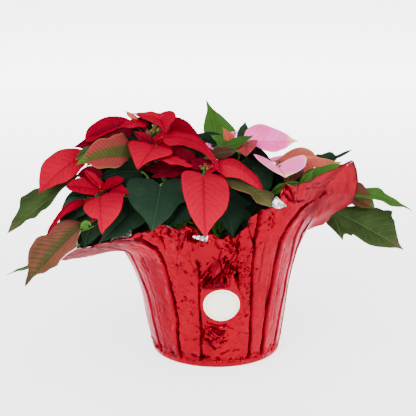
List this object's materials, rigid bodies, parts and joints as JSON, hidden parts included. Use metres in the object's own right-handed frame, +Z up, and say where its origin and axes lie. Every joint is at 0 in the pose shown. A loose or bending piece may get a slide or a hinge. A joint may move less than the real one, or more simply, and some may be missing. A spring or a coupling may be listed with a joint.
{
  "type": "potted poinsettia",
  "caption": "Two poinsettia plants with red and pink bracts over lobed green leaves, in a plastic pot inside a flared red foil cover.",
  "frame": {"origin": "centre of the foil cover's flat base, on the surface it stands on", "axes": "+Z up, -Y towards the front of the cover with the round sticker, +X to its right with the red plant on -X and the pink plant on +X"},
  "size_m": [0.3891, 0.2571, 0.2353],
  "materials": {
    "red_foil": "red lacquered metallised film, crinkled, satin to glossy",
    "paper_sticker": "matte coated paper, blank",
    "pot_plastic": "thin dark green moulded plastic",
    "potting_soil": "moist peat and bark mix",
    "stem": "green soft wood, browner at the base",
    "cyathia": "green cups with red and yellow tips",
    "red_bract": "velvety, veined",
    "dark_red_bract": "velvety, veined, shaded",
    "two_tone_leaf": "green blade flushed red-brown",
    "dark_green_leaf": "satin, veined",
    "light_green_leaf": "satin, veined",
    "pink_bract": "velvety, veined",
    "salmon_bract": "velvety, veined",
    "bronze_leaf": "satin, veined"
  },
  "bodies": {
    "root": {"foil_cover": "red_foil", "sticker": "paper_sticker", "nursery_pot": "pot_plastic", "soil": "potting_soil", "red_plant_stem": "stem", "pink_plant_stem": "stem", "red_cyathia_01": "cyathia", "red_cyathia_02": "cyathia", "pink_cyathia_01": "cyathia", "red_bract_01": "red_bract", "red_bract_02": "red_bract", "red_bract_03": "red_bract", "red_bract_04": "red_bract", "red_bract_05": "red_bract", "red_bract_06": "red_bract", "red_bract_07": "red_bract", "red_bract_08": "dark_red_bract", "red_bract_10": "red_bract", "red_bract_11": "red_bract", "red_bract_12": "red_bract", "red_bract_13": "red_bract", "red_bract_14": "red_bract", "red_bract_15": "red_bract", "red_bract_16": "red_bract", "red_bract_18": "red_bract", "red_bract_19": "red_bract", "mixed_leaf_01": "two_tone_leaf", "mixed_leaf_02": "two_tone_leaf", "mixed_leaf_03": "two_tone_leaf", "green_leaf_01": "dark_green_leaf", "green_leaf_03": "dark_green_leaf", "green_leaf_04": "dark_green_leaf", "green_leaf_05": "dark_green_leaf", "green_leaf_06": "dark_green_leaf", "green_leaf_08": "dark_green_leaf", "green_leaf_09": "light_green_leaf", "pink_bract_02": "pink_bract", "green_leaf_12": "light_green_leaf", "mixed_leaf_04": "bronze_leaf", "pink_bract_03": "salmon_bract", "pink_bract_04": "pink_bract", "pink_bract_05": "pink_bract", "pink_bract_06": "salmon_bract", "mixed_leaf_05": "bronze_leaf", "green_leaf_14": "dark_green_leaf", "green_leaf_15": "dark_green_leaf", "green_leaf_17": "light_green_leaf", "green_leaf_18": "light_green_leaf", "green_leaf_19": "dark_green_leaf", "green_leaf_20": "light_green_leaf", "red_bract_22": "red_bract", "red_bract_23": "red_bract", "red_bract_24": "red_bract", "red_bract_25": "red_bract", "pink_bract_07": "pink_bract", "pink_bract_08": "pink_bract", "pink_bract_09": "pink_bract", "green_leaf_21": "dark_green_leaf", "green_leaf_22": "dark_green_leaf", "green_leaf_23": "dark_green_leaf"}
  },
  "joints": []
}
